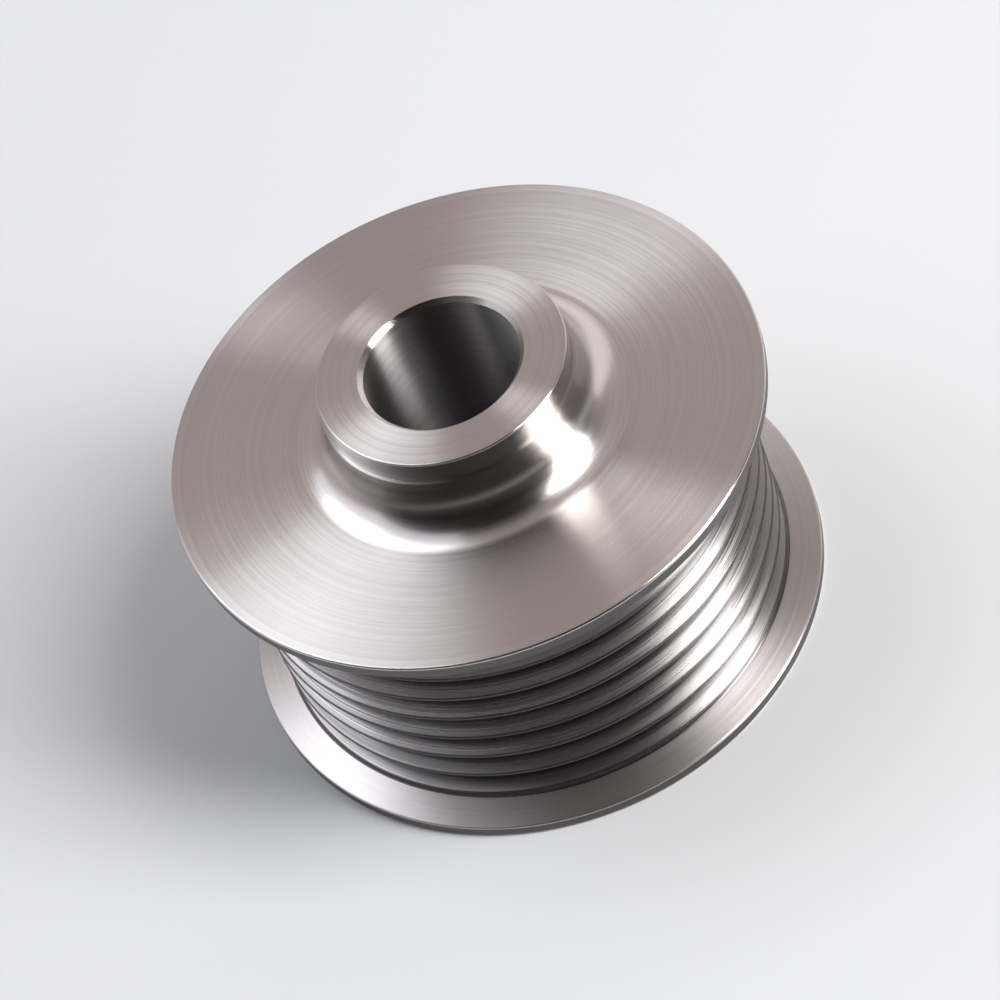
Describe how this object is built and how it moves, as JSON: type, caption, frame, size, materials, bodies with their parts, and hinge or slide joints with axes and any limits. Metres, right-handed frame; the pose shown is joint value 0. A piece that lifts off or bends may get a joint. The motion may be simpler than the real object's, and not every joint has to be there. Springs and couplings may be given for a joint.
{
  "type": "ribbed belt pulley",
  "caption": "Turned steel pulley for a ribbed belt: V grooves between two flanges, a hub proud of the front flange, and a plain through bore.",
  "frame": {"origin": "centre of the rear face, on the bore's axis", "axes": "+Z along the bore's axis, from the rear face towards the hub; the part is turned about Z, so X and Y are free"},
  "size_m": [0.065, 0.065, 0.0402],
  "materials": {
    "turned_steel": "fine turned, bright"
  },
  "bodies": {
    "root": {"pulley": "turned_steel"}
  },
  "joints": []
}
